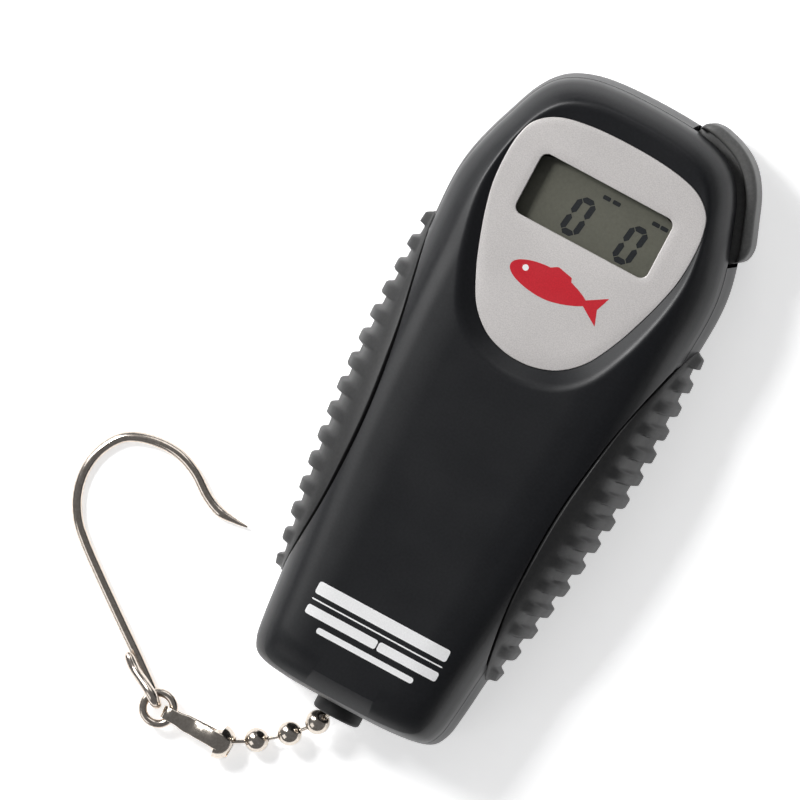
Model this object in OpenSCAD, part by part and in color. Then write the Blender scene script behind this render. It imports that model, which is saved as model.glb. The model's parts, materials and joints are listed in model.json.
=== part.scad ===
// Digital fish scale: a hand-held hanging scale, lying on its back.
// Origin at the centre of the back rest face, +Z out of the display face,
// +Y towards the display end, +X to the right seen from the front.

/* [Case] */
// Length of the case
case_l = 130; // [122:1:160]
// Width of the case at its widest
case_w = 57.4; // [55:0.2:70]
// Thickness of the case, back to front
case_t = 27; // [26.6:0.1:27.4]
// Wall thickness of both shells
wall = 2; // [1.8:0.1:2.6]
// Height of the parting line above the back
part_z = 16.5; // [16.4:0.1:18]
// Step at the parting line, front shell inside rear shell
part_step = 0.7; // [0.4:0.1:1.2]

/* [Grips] */
// Upper end of the rubber grips
grip_y1 = 26.8; // [24:0.2:28]
// Lower end of the rubber grips
grip_y0 = -47.8; // [-49:0.2:-44]
// How far a grip reaches onto the front face at its middle
grip_reach = 5.4; // [4:0.2:6.5]
// How far the smooth rubber stands proud of the case
grip_proud = 1.8; // [1:0.1:2.2]
// Depth of the recess that holds a grip
grip_seat = 0.9; // [0.6:0.1:1]
// Number of ribs on a grip
rib_count = 15; // [9:1:15]
// Height of a rib above the smooth rubber
rib_h = 1.3; // [0.8:0.1:1.8]
// Length of a rib along the case
rib_l = 2.6; // [1.8:0.1:3]

/* [Display] */
// Width of the face plate
plate_w = 40.8; // [38:0.2:41.4]
// Length of the face plate
plate_l = 46.3; // [44:0.1:48]
// Thickness of the face plate
plate_t = 0.6; // [0.4:0.1:0.8]
// Depth of the face plate's top below the front of the case
plate_drop = 2.1; // [1.9:0.1:2.3]
// Face plate centre to the display end of the case
plate_from_end = 32; // [31:0.2:34]
// Window centre to the display end of the case
window_from_end = 24; // [23:0.2:25]
// Window width
window_w = 28.4; // [26:0.2:30]
// Window height
window_h = 12.7; // [11:0.1:14]
// Window corner radius
window_r = 1.6; // [1:0.1:2.5]
// Display glass width
lcd_w = 33; // [31:0.2:33.6]
// Display glass height
lcd_h = 18; // [16.5:0.1:19]

/* [Button] */
// How far the button stands proud of the case
button_proud = 2.6; // [1.2:0.1:2.8]
// Travel of the button
button_travel = 0.8; // [0.5:0.1:1]

/* [Battery] */
// AAA cell radius
cell_r = 5.25; // [5:0.05:5.3]
// AAA cell length over its nub
cell_l = 44.5; // [44:0.1:44.6]
// Battery door width
door_w = 27; // [25:0.5:28]

/* [Load path] */
// Load cell width
sensor_w = 21; // [18:0.5:22]
// Load cell length
sensor_l = 38; // [34:0.5:40]
// Load cell thickness
sensor_t = 8; // [6:0.5:9]
// Height of the chain exit above the back
boot_z = 10.8; // [10.4:0.1:11.2]
// Outer radius of the boot
boot_r = 4.85; // [4.6:0.05:5]
// How far the boot stands out of the case
boot_out = 2.4; // [1.6:0.1:3]

/* [Chain] */
// Bead radius
bead_r = 2.38; // [2.3:0.01:2.4]
// Bead wall thickness
bead_wall = 0.3; // [0.2:0.05:0.35]
// Radius of the holes in a bead
bead_hole = 0.62; // [0.6:0.01:0.66]
// Radius of a pin's shank
pin_r = 0.4; // [0.3:0.02:0.42]
// Bell outer radius
bell_r = 3.45; // [3.4:0.05:3.5]
// Strap thickness
strap_t = 0.6; // [0.4:0.1:0.7]
// Strap width
strap_w = 3.1; // [2.6:0.1:3.4]
// Ring radius, centre of the wire
ring_r = 3; // [2.9:0.1:3.3]
// Ring wire radius
ring_wire = 0.85; // [0.7:0.05:0.9]
// Hook wire radius
hook_wire = 1.05; // [0.9:0.05:1.1]

/* [Hidden] */
half_l = case_l / 2;
half_w = case_w / 2;
play = 0.2; // clearance of a part that moves or drops in
hair = 0.05; // clearance of a part that seats

// Right half of the case seen from the front, from the display end down:
// each point is [share of half_w, share of half_l].
case_half = [
    [0, 1], [0.32, 0.994], [0.53, 0.974], [0.68, 0.935], [0.785, 0.872],
    [0.864, 0.785], [0.937, 0.692], [0.986, 0.6], [1, 0.508], [0.985, 0.369],
    [0.966, 0.154], [0.935, -0.077], [0.886, -0.308], [0.823, -0.538],
    [0.771, -0.738], [0.742, -0.862], [0.71, -0.94], [0.63, -0.981],
    [0.4, -0.997], [0, -1]
];
// Right half of the face plate: [share of half its width, share of its length].
plate_half = [
    [0, 0.5], [0.4, 0.492], [0.72, 0.462], [0.91, 0.4], [0.98, 0.32],
    [1, 0.22], [0.985, 0.1], [0.93, -0.01], [0.85, -0.124], [0.74, -0.25],
    [0.59, -0.373], [0.4, -0.452], [0.2, -0.489], [0, -0.5]
];

// A closed outline from its right half: down the right, up the left.
function whole(half) = concat(
    [for (p = half) p],
    [for (i = [len(half) - 2 : -1 : 1]) [-half[i][0], half[i][1]]]
);
function at(p, i) = p[(i + len(p)) % len(p)];
// Catmull-Rom point between b and c.
function bend(a, b, c, d, t) = 0.5 * (2 * b + (c - a) * t
    + (2 * a - 5 * b + 4 * c - d) * t * t
    + (3 * b - a - 3 * c + d) * t * t * t);
function round_loop(p, n) = [
    for (i = [0 : len(p) - 1], k = [0 : n - 1])
        bend(at(p, i - 1), at(p, i), at(p, i + 1), at(p, i + 2), k / n)
];
function round_path(p, n) = [
    for (i = [0 : len(p) - 2], k = [0 : (i == len(p) - 2 ? n : n - 1)])
        bend(p[max(i - 1, 0)], p[i], p[i + 1], p[min(i + 2, len(p) - 1)], k / n)
];
function unit(v) = v / norm(v);

case_loop = round_loop(whole(case_half), 2);
plate_loop = round_loop(whole(plate_half), 2);
case_side = round_path(case_half, 2);
side_table = [for (i = [len(case_side) - 1 : -1 : 0]) [case_side[i][1], case_side[i][0]]];
function half_at(y) = half_w * lookup(y / half_l, side_table);

// Inset of the case's surface from its outline, at each height.
top_k = 0.75; // share of an inset at the display end
low_k = 0.35; // share of an inset at the chain end
rear_profile = [[0, 3.2], [0.8, 1.7], [2.4, 0.7], [5, 0.15], [9, 0], [part_z, 0.8]];
front_profile = [
    [part_z, 0.8 + part_step], [case_t - 7.5, 1.7], [case_t - 5.2, 2.5],
    [case_t - 2.9, 4.2], [case_t - 1.3, 6.4], [case_t - 0.5, 9.5], [case_t, 16]
];
skin_profile = [
    [0, 3.2], [0.8, 1.7], [2.4, 0.7], [5, 0.15], [9, 0], [13, 0.25],
    [case_t - 7.5, 1.6], [case_t - 5.2, 2.5], [case_t - 2.9, 4.2],
    [case_t - 1.3, 6.4], [case_t - 0.5, 9.5], [case_t, 16]
];
shoulder = [
    [0, 9], [0.25, 13], [1.6, case_t - 7.5], [2.5, case_t - 5.2],
    [4.2, case_t - 2.9], [6.4, case_t - 1.3]
];
function case_ring(z, inset, extra = 0) = [for (p = case_loop) [
    half_w * p[0] * (1 - (inset + extra) / half_w),
    half_l * p[1] * (1 - ((p[1] > 0 ? top_k : low_k) * inset + extra) / half_l), z
]];

// A closed solid through rings of points, each clockwise seen from the last ring's end.
module loft(rings) {
    m = len(rings[0]);
    n = len(rings);
    polyhedron(
        points = [for (r = rings, p = r) p],
        faces = concat(
            [[for (j = [m - 1 : -1 : 0]) j]],
            [[for (j = [0 : m - 1]) (n - 1) * m + j]],
            [for (i = [0 : n - 2], j = [0 : m - 1]) [i * m + j, (i + 1) * m + (j + 1) % m, (i + 1) * m + j]],
            [for (i = [0 : n - 2], j = [0 : m - 1]) [i * m + j, i * m + (j + 1) % m, (i + 1) * m + (j + 1) % m]]
        ),
        convexity = 6
    );
}
function back(r) = [for (i = [len(r) - 1 : -1 : 0]) r[i]];

// A round tube along a path, with a radius for each point.
function along(p) = [for (i = [0 : len(p) - 1]) unit(p[min(i + 1, len(p) - 1)] - p[max(i - 1, 0)])];
function sides_of(t, n0) = [
    for (i = 0, n = unit(n0 - (n0 * t[0]) * t[0]); i < len(t);
        i = i + 1, n = i < len(t) ? unit(n - (n * t[i]) * t[i]) : n) n
];
module tube(path, radii, start, sides = 8) {
    t = along(path);
    n = sides_of(t, start);
    loft([for (i = [0 : len(path) - 1]) [for (k = [0 : sides - 1])
        path[i] + radii[i] * (cos(360 * k / sides) * n[i] + sin(360 * k / sides) * cross(n[i], t[i]))]]);
}
module wire(path, r, start) {
    smooth = round_path(path, 3);
    tube(smooth, [for (p = smooth) r], start);
}

// ---- places inside the case ----
plate_y = half_l - plate_from_end;
plate_top = case_t - plate_drop;
dish_z = plate_top - plate_t;
ceiling_z = dish_z - wall;
window_y = half_l - window_from_end;
lens_t = 1;
lcd_t = 2.2;
lcd_z = ceiling_z - lens_t - lcd_t;
strip_h = 2;
board_top = lcd_z - strip_h;
board_t = 1.6;
board_w = 35;
board_y0 = window_y - 17;
board_y1 = window_y + 15.8;
board_cut = 3; // cut corners at the display end
frame_w = 36;
frame_h = 22.6;

door_t = 2.1;
door_y0 = 2;
cell_z = door_t + 0.6 + cell_r;
bay_y0 = 4.5;
bay_l = cell_l + 4;
bay_w = 4 * cell_r + 1;
bay_wall = 1.2;
bay_top = cell_z + cell_r + 0.3;

top_screw_y = 26;
low_screw_y = -half_l + 7.5;
screw_r = 1.3;
screw_head_r = 2.6;
screw_head_z = 3.2;
function screw_x(y) = half_at(y) - wall - 4.4;
case_screw_places = [for (y = [top_screw_y, low_screw_y], s = [-1, 1]) [s * screw_x(y), y]];

board_screw_places = [
    [-13.4, board_y0 + 2.8], [13.4, board_y0 + 2.8], [-7, board_y1 - 2], [7, board_y1 - 2]
];

sensor_y0 = -half_l + 11;
sensor_y1 = sensor_y0 + sensor_l;
sensor_z0 = boot_z - sensor_t / 2;
sensor_screw_x = 6;
sensor_screw_y = sensor_y1 - 4.5;
sensor_screw_r = 1.5;
stud_r = 1.95;

// ---- chain: a bead, a pin, a bead and so on, each turned a little further ----
bead0 = [0, -half_l + 0.4, boot_z];
chain_yaw = [22, 25, 33, 41, 46, 50, 55, 60, 62];
chain_slope = [24, 28, 29, 29, 24, 14, 3, -6, -9];
pin_free = 2.5; // length of a pin between two beads
bead_wall_mid = bead_r - bead_wall / 2;
pin_head_in = 1.2; // head's middle inside the wall of its bead
function aim(k) = [
    -cos(chain_slope[k]) * sin(chain_yaw[k]), -cos(chain_slope[k]) * cos(chain_yaw[k]), -sin(chain_slope[k])
];
function bead_at(i) = i == 0 ? bead0
    : bead_at(i - 1) + bead_wall_mid * aim(2 * i - 2) + pin_free * aim(2 * i - 1) + bead_wall_mid * aim(2 * i);
function pin_at(i) = bead_at(i - 1) + bead_wall_mid * aim(2 * i - 2) + pin_free / 2 * aim(2 * i - 1);
module face_along(k) rotate([0, chain_slope[k], -90 - chain_yaw[k]]) children();

last = bead_at(4);
rim_x = last[0] - 0.4; // flat side of the bell
loop_r = ring_wire + 0.45; // inside radius of the strap's loop
strap_reach = 10.1; // rim of the bell to the ring's wire
ring_x = rim_x - strap_reach - ring_r;
hook_yaw = 141; // direction of the shank from the ring
eye_r = ring_wire + hook_wire + 0.2;
hook_at = [ring_x + ring_r * cos(hook_yaw), last[1] + ring_r * sin(hook_yaw), last[2]];
hook_floor = hook_wire + 0.05;

// ---- case ----
module case_outside_rear() loft([for (q = rear_profile) case_ring(q[0], q[1])]);

module grip_solid(from, to, rib = 0, more = 0) {
    mid = 7; // points across the rubber
    pitch = (grip_y1 - grip_y0 - 4) / (rib_count - 1);
    ramp = 0.15;
    stations = rib > 0
        ? concat([[grip_y0 + 0.3, 0]], [for (i = [0 : rib_count - 1]) each [
            [grip_y0 + 2 + i * pitch - rib_l / 2 - ramp, 0], [grip_y0 + 2 + i * pitch - rib_l / 2 + ramp, 1],
            [grip_y0 + 2 + i * pitch + rib_l / 2 - ramp, 1], [grip_y0 + 2 + i * pitch + rib_l / 2 + ramp, 0]
        ]], [[grip_y1 - 0.3, 0]])
        : [for (i = [0 : 26]) [grip_y0 - more + (grip_y1 - grip_y0 + 2 * more) * i / 26, 0]];
    loft([for (s = stations) let (
        y = s[0],
        w = pow(max(0.02, sin(180 * (y - grip_y0) / (grip_y1 - grip_y0))), 0.5),
        reach = grip_reach * max(0.02, sin(180 * (y - grip_y0) / (grip_y1 - grip_y0))) + more,
        hi = lookup(reach * half_w / half_at(y), shoulder),
        lo = 8.6 - 5.4 * w - more,
        skin = [for (j = [0 : mid]) let (
            z = lo + (hi - lo) * cos(90 * j / mid),
            tilt = 90 - 60 * max(0, z - 12) / (case_t - 12)
        ) [half_at(y) * (1 - lookup(z, skin_profile) / half_w), z, sin(tilt), cos(tilt), j]],
        outer = [for (q = skin) let (
            e = to + grip_proud * (rib > 0 ? w : 0) * min(1, q[4] / 3) + rib * s[1] * min(1, max(0, q[4] - 2) / 2)
        ) [q[0] + e * q[2], y, q[1] + e * q[3]]],
        inner = [for (q = skin) [q[0] + from * q[2], y, q[1] + from * q[3]]]
    ) concat(inner, back(outer))]);
}
module both_sides() {
    children();
    mirror([1, 0, 0]) children();
}
function plate_ring(z, side, top, low) = [for (p = plate_loop) [
    plate_w * p[0] / 2 + side * p[0],
    plate_y + plate_l * p[1] + (p[1] > 0 ? 2 * top : 2 * low) * p[1], z
]];
module plate_shape(z, h, gap) loft([plate_ring(z, gap, gap, gap), plate_ring(z + h, gap, gap, gap)]);
module window_cut(z, h, gap) translate([0, window_y, z]) linear_extrude(h) window_2d(gap);
module window_2d(gap) {
    w = window_w / 2 + gap - window_r;
    v = window_h / 2 + gap - window_r;
    square([2 * w, 2 * (v + window_r)], center = true);
    square([2 * (w + window_r), 2 * v], center = true);
    for (x = [-w, w], y = [-v, v]) translate([x, y]) circle(r = window_r, $fn = 48);
}
module block(lo, hi) translate(lo) cube(hi - lo);
module post(x, y, z0, z1, r) translate([x, y, z0]) cylinder(r = r, h = z1 - z0, $fn = 32);

module front_shell() color([0.16, 0.16, 0.18]) difference() {
    union() {
        difference() {
            loft([for (q = front_profile) case_ring(q[0], q[1])]);
            loft([
                case_ring(part_z - 1, 0.8 + part_step, wall), case_ring(case_t - 7.5, 1.7, wall),
                case_ring(case_t - 5.2, 2.5, wall + 0.3), case_ring(ceiling_z, 2.9, wall + 0.2)
            ]);
            both_sides() grip_solid(-grip_seat - 0.1, 6, 0, 0.08);
        }
        for (p = case_screw_places) post(p[0], p[1], part_z, ceiling_z + 0.5, 3);
        for (p = board_screw_places) post(p[0], p[1], board_top, ceiling_z + 0.5, 2.2);
    }
    loft([
        plate_ring(dish_z, hair, hair, hair), plate_ring(plate_top, hair, hair, hair),
        plate_ring(case_t, 4.2, 10, 3.2), plate_ring(case_t + 1, 6.2, 14.8, 4.8)
    ]);
    window_cut(ceiling_z - 1, 4, 0);
    for (p = case_screw_places) post(p[0], p[1], part_z - 1, ceiling_z - 1, screw_r + hair);
    for (p = board_screw_places) post(p[0], p[1], board_top - 1, board_top + 3.6, 0.9);
}

module rear_shell() color([0.13, 0.13, 0.14]) difference() {
    union() {
        difference() {
            case_outside_rear();
            loft([
                case_ring(wall + 0.2, 0.8, wall + 0.8), case_ring(4.5, 0.2, wall + 0.2),
                case_ring(9, 0, wall), case_ring(part_z + 1, 0.8, wall)
            ]);
            both_sides() grip_solid(-grip_seat - 0.1, 6, 0, 0.08);
        }
        block(
            [-bay_w / 2 - bay_wall, bay_y0 - bay_wall, wall],
            [bay_w / 2 + bay_wall, bay_y0 + bay_l + bay_wall, bay_top + 1]
        );
        block(
            [-door_w / 2 - 4, door_y0 - 2, wall - 0.2],
            [door_w / 2 + 4, bay_y0 + bay_l + 6, door_t + play + 1.2]
        );
        for (p = case_screw_places) post(p[0], p[1], 1.5, part_z, 3.7);
        for (s = [-1, 1]) post(s * sensor_screw_x, sensor_screw_y, wall - 0.2, sensor_z0, 3.2);
    }
    block([-bay_w / 2, bay_y0, 1], [bay_w / 2, bay_y0 + bay_l, bay_top]);
    block([-door_w / 2 - play, door_y0, -1], [door_w / 2 + play, case_l, door_t + play - 1]);
    block([-door_w / 2 - 1 - play, door_y0, 1], [door_w / 2 + 1 + play, case_l, door_t + play]);
    for (p = case_screw_places) {
        post(p[0], p[1], -1, screw_head_z, screw_head_r + 0.3);
        post(p[0], p[1], -1, part_z + 1, screw_r + 0.3);
    }
    for (s = [-1, 1]) post(s * sensor_screw_x, sensor_screw_y, 2.9, part_z, sensor_screw_r + 0.03);
    translate([0, -half_l + wall + 2, boot_z]) rotate([90, 0, 0]) cylinder(r = boot_r + hair, h = 8, $fn = 64);
    button_band(4.6, part_z + 1, -6, wall + 0.9, 1);
    wire_slots();
}
// The bay's end wall is notched for the battery leads.
module wire_slots() for (s = [-1, 1])
    block([s * 9.6 - 1, bay_y0 + bay_l - 1, bay_top - 2.4], [s * 9.6 + 1, bay_y0 + bay_l + bay_wall + 1, bay_top + 2]);

module left_grip() color([0.2, 0.2, 0.2]) mirror([1, 0, 0]) grip_solid(-grip_seat, 0, rib_h);
module right_grip() color([0.2, 0.2, 0.2]) grip_solid(-grip_seat, 0, rib_h);

module case_screws() color([0.6, 0.6, 0.62]) for (p = case_screw_places) difference() {
    union() {
        post(p[0], p[1], screw_head_z - 2, screw_head_z, screw_head_r);
        post(p[0], p[1], screw_head_z, ceiling_z - 1.5, screw_r);
    }
    cross_slot(p[0], p[1], screw_head_z - 2, 1);
}
module cross_slot(x, y, z, depth) for (a = [0, 90])
    translate([x, y, z]) rotate([0, 0, a]) cube([2.8, 0.7, 2 * depth], center = true);

// ---- display ----
module face_plate() color([0.78, 0.76, 0.75]) difference() {
    plate_shape(dish_z, plate_t, 0);
    window_cut(dish_z - 1, 4, 0);
}
module display_lens() color([0.8, 0.85, 0.85, 0.4])
    block([-lcd_w / 2, window_y - lcd_h / 2, ceiling_z - lens_t], [lcd_w / 2, window_y + lcd_h / 2, ceiling_z]);
module lcd_panel() color([0.42, 0.42, 0.38])
    block([-lcd_w / 2, window_y - lcd_h / 2, lcd_z], [lcd_w / 2, window_y + lcd_h / 2, lcd_z + lcd_t]);
module lcd_frame() color([0.9, 0.9, 0.88]) difference() {
    block([-frame_w / 2, window_y - frame_h / 2, board_top], [frame_w / 2, window_y + frame_h / 2, ceiling_z]);
    block(
        [-lcd_w / 2 - play, window_y - lcd_h / 2 - play, lcd_z],
        [lcd_w / 2 + play, window_y + lcd_h / 2 + play, ceiling_z + 1]
    );
    for (s = [-1, 1]) block(
        [-lcd_w / 2 + 1, window_y + s * 7 - 1.2, board_top - 1], [lcd_w / 2 - 1, window_y + s * 7 + 1.2, lcd_z + 1]
    );
}
module zebra_strips() color([0.85, 0.6, 0.65]) for (s = [-1, 1])
    block([-lcd_w / 2 + 1.2, window_y + s * 7 - 1, board_top], [lcd_w / 2 - 1.2, window_y + s * 7 + 1, lcd_z]);
module circuit_board() color([0.1, 0.4, 0.2]) difference() {
    translate([0, 0, board_top - board_t]) linear_extrude(board_t) polygon([
        [-board_w / 2, board_y0], [board_w / 2, board_y0], [board_w / 2, board_y1 - board_cut],
        [board_w / 2 - board_cut, board_y1], [board_cut - board_w / 2, board_y1], [-board_w / 2, board_y1 - board_cut]
    ]);
    for (p = board_screw_places) post(p[0], p[1], board_top - 5, board_top + 5, 1.1);
}
module board_parts() {
    color([0.05, 0.05, 0.05]) translate([0, board_y0 + 2.6, board_top]) cylinder(r = 2.4, h = 1, $fn = 48);
    color([0.7, 0.6, 0.4]) for (x = [-9, -6, 6, 9])
        block([x - 0.6, board_y0 + 1.6, board_top], [x + 0.6, board_y0 + 3.6, board_top + 0.8]);
    color([0.75, 0.75, 0.78]) block([-4, board_y1 - 3.4, board_top], [2, board_y1 - 1.4, board_top + 2]);
}
module board_screws() color([0.7, 0.7, 0.72]) for (p = board_screw_places) {
    post(p[0], p[1], board_top - board_t - 0.9, board_top - board_t, 1.8);
    post(p[0], p[1], board_top - board_t - 0.1, board_top + 3, 0.85);
}

// ---- button ----
// The stretch of the outline that the button follows, round the corner.
band_from = 2;
band_to = 12;
band_mid = 8;
switch_h = 3.2;
switch_z = board_top - board_t - switch_h / 2;
function band_point(i, inset) = [
    half_w * case_loop[i][0] * (1 - inset / half_w), half_l * case_loop[i][1] * (1 - inset / half_l)
];
function band(outer, inner, more) = concat(
    [for (i = [band_from - more : band_to + more]) band_point(i, outer)],
    [for (i = [band_to + more : -1 : band_from - more]) band_point(i, inner)]
);
module button_band(z0, z1, outer, inner, more = 0)
    translate([0, 0, z0]) linear_extrude(z1 - z0) polygon(band(outer, inner, more));
button_mid = band_point(band_mid, wall + 1);
pad_in = 2.2; // from the button's skirt to the end of its pad
switch_in = 3.7; // from the button's skirt to the switch
// Turns a piece to the direction in which the button is pressed, with x inwards.
module pressed(z) translate([button_mid[0], button_mid[1], z]) rotate([0, 0, 225]) children();

module power_button() color([0.36, 0.36, 0.35]) {
    button_band(5, part_z - 0.7, -button_proud, wall + 1.1);
    button_band(4.2, part_z - 0.3, wall + 1, wall + 1.9, 1);
    pressed(switch_z) translate([0.3, -1.6, -1.6]) cube([pad_in - 0.3, 3.2, 3.2]);
}
module tact_switch() color([0.2, 0.2, 0.22]) pressed(switch_z) difference() {
    translate([switch_in, -2.2, -switch_h / 2]) cube([3.4, 4.4, switch_h]);
    rotate([0, 90, 0]) cylinder(r = 1, h = switch_in + button_travel + 0.6, $fn = 32);
}
module switch_plunger() color([0.8, 0.3, 0.2]) pressed(switch_z) translate([pad_in, 0, 0])
    rotate([0, 90, 0]) cylinder(r = 0.9, h = switch_in + 0.4 - pad_in, $fn = 32);

// ---- batteries ----
module battery(s) translate([s * (cell_r + 0.25), bay_y0 + bay_l / 2, cell_z]) rotate([s * 90, 0, 0]) {
    color([0.1, 0.25, 0.5]) translate([0, 0, -cell_l / 2]) cylinder(r = cell_r, h = cell_l - 0.9, $fn = 64);
    color([0.8, 0.8, 0.8]) translate([0, 0, cell_l / 2 - 0.9]) cylinder(r = 1.9, h = 0.9, $fn = 48);
}
module spring_contacts() color([0.8, 0.8, 0.82]) for (s = [-1, 1])
    translate([s * (cell_r + 0.25), bay_y0 + bay_l / 2 + s * (bay_l / 2), cell_z]) rotate([s * 90, 0, 0]) {
        translate([-4, -4, 0]) cube([8, 8, 0.35]);
        for (k = [0 : 2]) translate([0, 0, 0.55 + 0.5 * k]) rotate_extrude($fn = 32)
            translate([3.4 - 0.5 * k, 0]) circle(r = 0.3, $fn = 16);
    }
module plate_contacts() color([0.8, 0.8, 0.82]) for (s = [-1, 1])
    translate([s * (cell_r + 0.25), bay_y0 + bay_l / 2 - s * (bay_l / 2), cell_z])
        rotate([-s * 90, 0, 0]) translate([-4, -4, 0]) cube([8, 8, 0.5]);
module battery_door() color([0.13, 0.13, 0.14]) {
    intersection() {
        case_outside_rear();
        block([-door_w / 2, door_y0 + play, -1], [door_w / 2, case_l, door_t - 1]);
    }
    intersection() {
        case_outside_rear();
        block([-door_w / 2 - 1, door_y0 + play, door_t - 1.01], [door_w / 2 + 1, case_l, door_t]);
    }
}

// ---- load path ----
module load_cell() color([0.75, 0.76, 0.78]) difference() {
    block([-sensor_w / 2, sensor_y0, sensor_z0], [sensor_w / 2, sensor_y1, sensor_z0 + sensor_t]);
    block([-sensor_w / 2 + 5, sensor_y1 - 12, 0], [sensor_w / 2 + 1, sensor_y1 - 10.4, part_z + 4]);
    block([-sensor_w / 2 - 1, sensor_y0 + 10.4, 0], [sensor_w / 2 - 5, sensor_y0 + 12, part_z + 4]);
    post(0, (sensor_y0 + sensor_y1) / 2, 0, part_z + 4, 4.4);
    for (s = [-1, 1]) post(s * sensor_screw_x, sensor_screw_y, 0, part_z + 4, sensor_screw_r + 0.2);
    translate([0, sensor_y0 + 8, boot_z]) rotate([90, 0, 0]) cylinder(r = stud_r + hair, h = 10, $fn = 48);
}
module strain_gauges() color([0.85, 0.6, 0.2]) for (s = [-1, 1], z = [sensor_z0 - 0.2, sensor_z0 + sensor_t])
    block([s * 7.5 - 1.4, (sensor_y0 + sensor_y1) / 2 - 2.2, z], [s * 7.5 + 1.4, (sensor_y0 + sensor_y1) / 2 + 2.2, z + 0.2]);
module sensor_screws() color([0.6, 0.6, 0.62]) for (s = [-1, 1]) {
    post(s * sensor_screw_x, sensor_screw_y, 3.2, sensor_z0 + sensor_t, sensor_screw_r);
    difference() {
        post(s * sensor_screw_x, sensor_screw_y, sensor_z0 + sensor_t, sensor_z0 + sensor_t + 2.2, 2.7);
        post(s * sensor_screw_x, sensor_screw_y, sensor_z0 + sensor_t + 1, sensor_z0 + sensor_t + 3, 1.3);
    }
}
module hanger() color([0.7, 0.7, 0.72]) translate([0, 0, boot_z]) rotate([90, 0, 0]) {
    translate([0, 0, -sensor_y0 - 7]) cylinder(r = stud_r, h = 7 + sensor_y0 - bead0[1] - 2.75, $fn = 48);
    difference() {
        translate([0, 0, -bead0[1] - 2.9]) cylinder(r = 3.4, h = 4.4, $fn = 64);
        translate([0, 0, -bead0[1]]) sphere(r = bead_r + 0.17, $fn = 64);
    }
}
module hanger_nut() color([0.75, 0.7, 0.5]) translate([0, sensor_y0 - 0.01, boot_z]) rotate([90, 0, 0]) difference() {
    cylinder(r = 3.9, h = 2.4, $fn = 6);
    translate([0, 0, -1]) cylinder(r = stud_r + hair, h = 5, $fn = 48);
}
module chain_boot() color([0.08, 0.08, 0.08]) translate([0, 0, boot_z]) rotate([90, 0, 0]) difference() {
    union() {
        translate([0, 0, half_l - wall - 1.9]) cylinder(r = boot_r, h = wall + 1.9 + boot_out, $fn = 64);
        translate([0, 0, half_l - wall - 1.9]) cylinder(r = boot_r + 0.6, h = 1.1, $fn = 64);
    }
    translate([0, 0, half_l - wall - 3]) cylinder(r = 3.8, h = 12, $fn = 64);
}

// ---- chain, swivel, ring and hook ----
module bead(i) color([0.8, 0.78, 0.74]) translate(bead_at(i)) face_along(2 * i) rotate([0, 90, 0]) difference() {
    sphere(r = bead_r, $fn = 64);
    sphere(r = bead_r - bead_wall, $fn = 64);
    cylinder(r = bead_hole, h = 3 * bead_r, center = true, $fn = 32);
}
module pin(i) color([0.75, 0.74, 0.72]) translate(pin_at(i)) face_along(2 * i - 1) rotate([0, 90, 0]) {
    half = pin_free / 2 + pin_head_in;
    cylinder(r = pin_r, h = 2 * half, center = true, $fn = 32);
    for (s = [-1, 1]) translate([0, 0, s * half]) cylinder(r = 0.8, h = 0.4, center = true, $fn = 32);
}
module bell() color([0.8, 0.78, 0.74]) translate([rim_x, last[1], last[2]]) rotate([0, 90, 0]) difference() {
    sphere(r = bell_r, $fn = 64);
    sphere(r = bell_r - 0.5, $fn = 64);
    translate([0, 0, -10]) cylinder(r = 10, h = 10, $fn = 64);
    cylinder(r = 2.2, h = 10, $fn = 48);
}
loop_at = strap_reach + 0.2; // the loop's centre: the ring curves away inside it
module strap_2d(t) {
    r = loop_r + t;
    polygon([
        [1, bell_r - 0.7 + t], [-1.8, bell_r - 0.8 + t], [-5.4, r], [-loop_at, r],
        [-loop_at, -r], [-5.4, -r], [-1.8, -bell_r + 0.8 - t], [1, -bell_r + 0.7 - t]
    ]);
    translate([-loop_at, 0]) circle(r = r, $fn = 48);
}
module strap() color([0.8, 0.78, 0.74]) translate([rim_x, last[1] + strap_w / 2, last[2]]) rotate([90, 0, 0])
    linear_extrude(strap_w) difference() {
        strap_2d(strap_t);
        strap_2d(0);
        translate([0, -10]) square([10, 20]);
    }
module ring() color([0.82, 0.8, 0.76]) translate([ring_x, last[1], last[2]])
    rotate_extrude($fn = 64) translate([ring_r, 0]) circle(r = ring_wire, $fn = 32);

// Shank and bend of the hook, seen from above, from the eye to the point.
hook_plan = [
    [-39.3, -75.9], [-45.4, -71.4], [-53, -65.7], [-58.6, -61.3], [-62.2, -57.8], [-64.6, -53.4],
    [-65.4, -48.6], [-64.4, -43.8], [-61.6, -39.8], [-57, -37.9], [-51.6, -37.6], [-46.8, -39.2],
    [-42.4, -42.2], [-39, -43.7], [-35.8, -43.9], [-32.8, -43.8]
];
hook_shift = hook_at - [-33.7, -80.3, 0]; // the bend was drawn for an eye at that place
shank = [cos(hook_yaw), sin(hook_yaw), 0];
beside = [-sin(hook_yaw), cos(hook_yaw), 0];
lift = [0, 0, 1];
hook_path = concat(
    [
        hook_at + 9.2 * shank + 1.4 * beside - 0.5 * lift,
        hook_at + 5.6 * shank + 1.3 * beside,
        hook_at + 2.4 * shank + 0.5 * beside + 1.5 * lift,
        for (a = [90 : -45 : -90]) hook_at - eye_r * cos(a) * shank + eye_r * sin(a) * lift,
        hook_at + 2.6 * shank + (hook_floor - last[2] + 0.2) * lift
    ],
    [for (p = hook_plan) [p[0] + hook_shift[0], p[1] + hook_shift[1], hook_floor]]
);
hook_smooth = round_path(hook_path, 3);
module hook() color([0.8, 0.78, 0.74]) tube(
    hook_smooth,
    [for (i = [0 : len(hook_smooth) - 1]) hook_wire * min(1, 0.3 + 0.14 * (len(hook_smooth) - 1 - i))],
    beside, 10
);

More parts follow.
